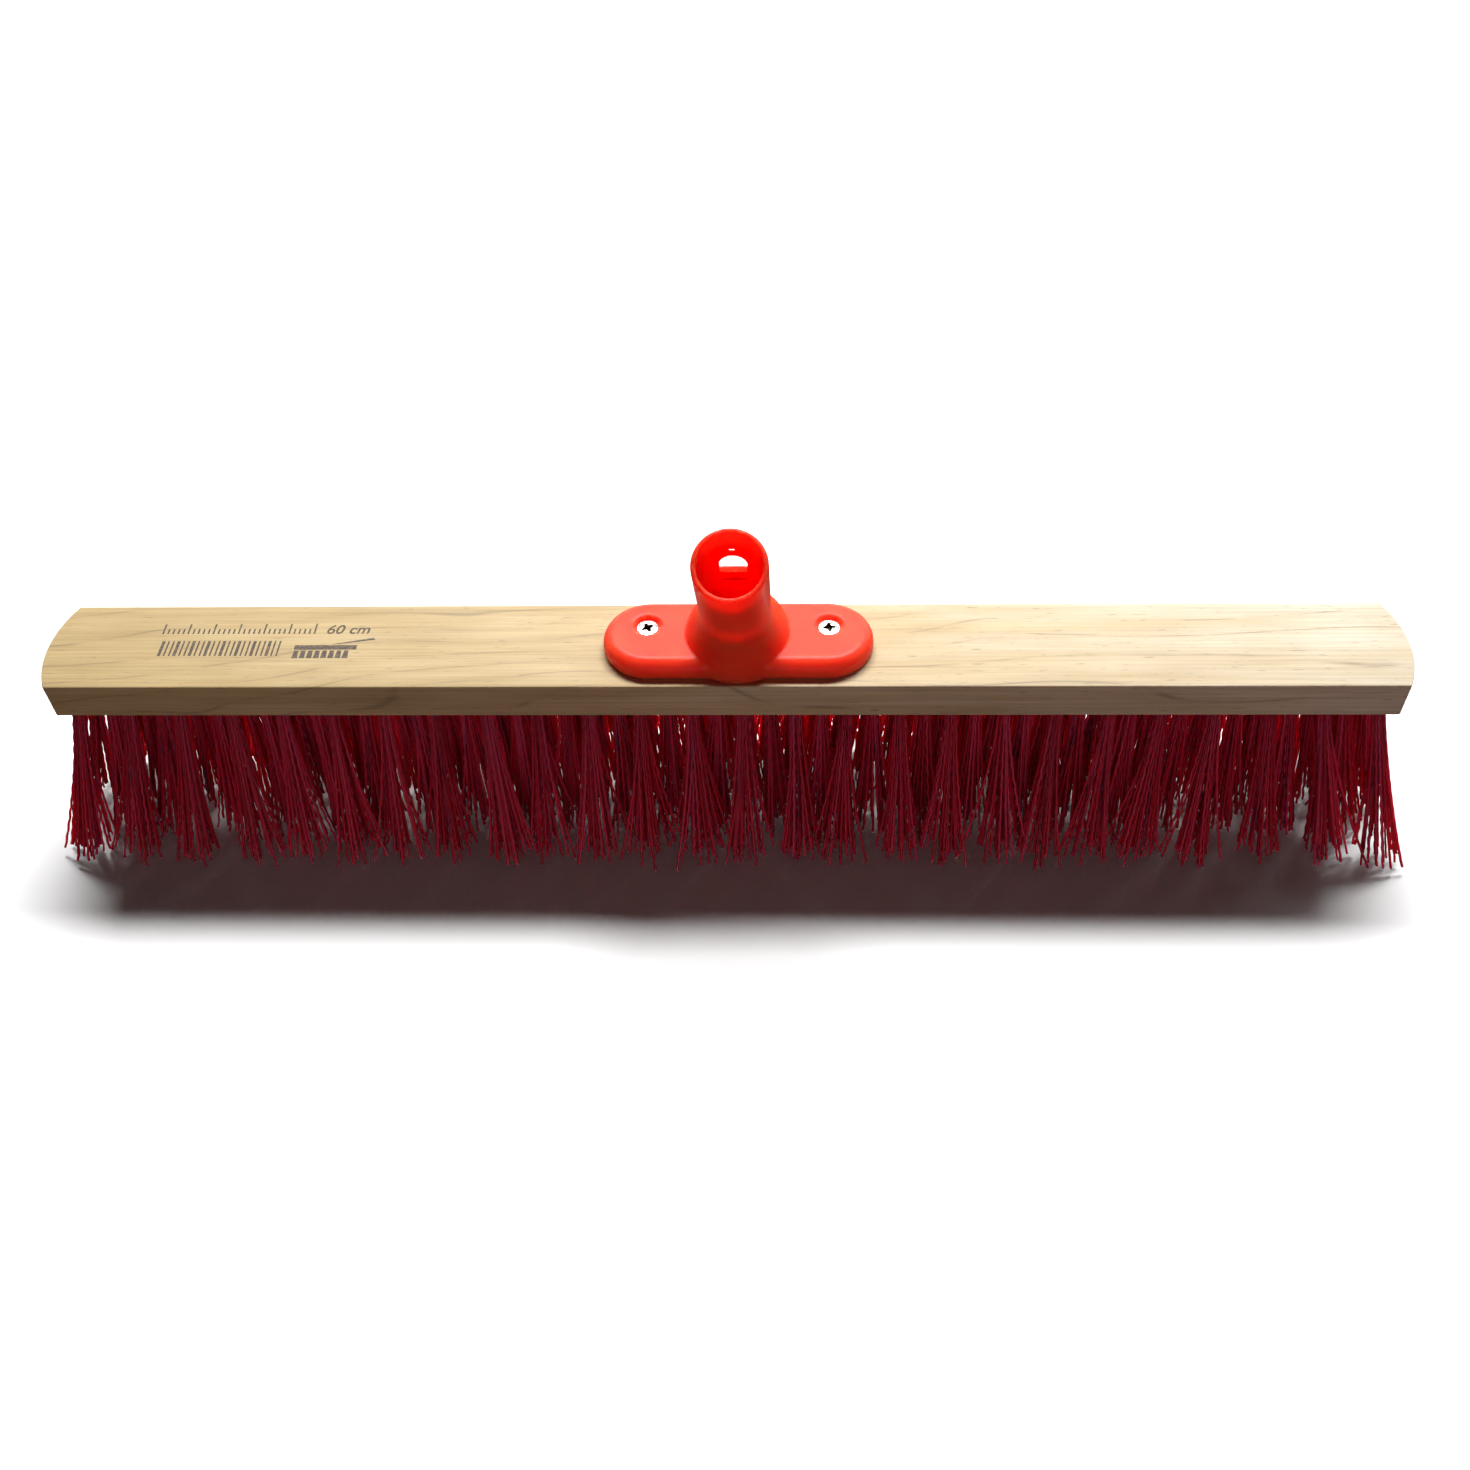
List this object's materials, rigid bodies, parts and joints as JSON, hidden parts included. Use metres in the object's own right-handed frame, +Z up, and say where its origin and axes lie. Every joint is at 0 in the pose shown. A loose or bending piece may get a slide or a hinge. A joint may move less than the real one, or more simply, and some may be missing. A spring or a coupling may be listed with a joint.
{
  "type": "push broom head",
  "caption": "Push broom head: wooden block with rows of stiff bristle tufts and a screwed-on angled plastic handle socket.",
  "frame": {"origin": "on the floor under the middle of the block, where the middle row of bristle tips stands", "axes": "+X along the block, +Z up out of the block's top, -Y towards the person sweeping, the way the handle socket leans"},
  "size_m": [0.6422, 0.1052, 0.1948],
  "materials": {
    "block_wood": "bare sanded pale hardwood",
    "socket_plastic": "satin moulded orange-red",
    "screw_zinc": "bright zinc plate",
    "bristle_pvc": "crimped dark red filament"
  },
  "bodies": {
    "root": {"wood_block": "block_wood", "handle_socket": "socket_plastic", "socket_screw_left": "screw_zinc", "socket_screw_right": "screw_zinc", "bristle_row_front": "bristle_pvc", "bristle_row_front_inner": "bristle_pvc", "bristle_row_middle": "bristle_pvc", "bristle_row_rear_inner": "bristle_pvc", "bristle_row_rear": "bristle_pvc"}
  },
  "joints": []
}
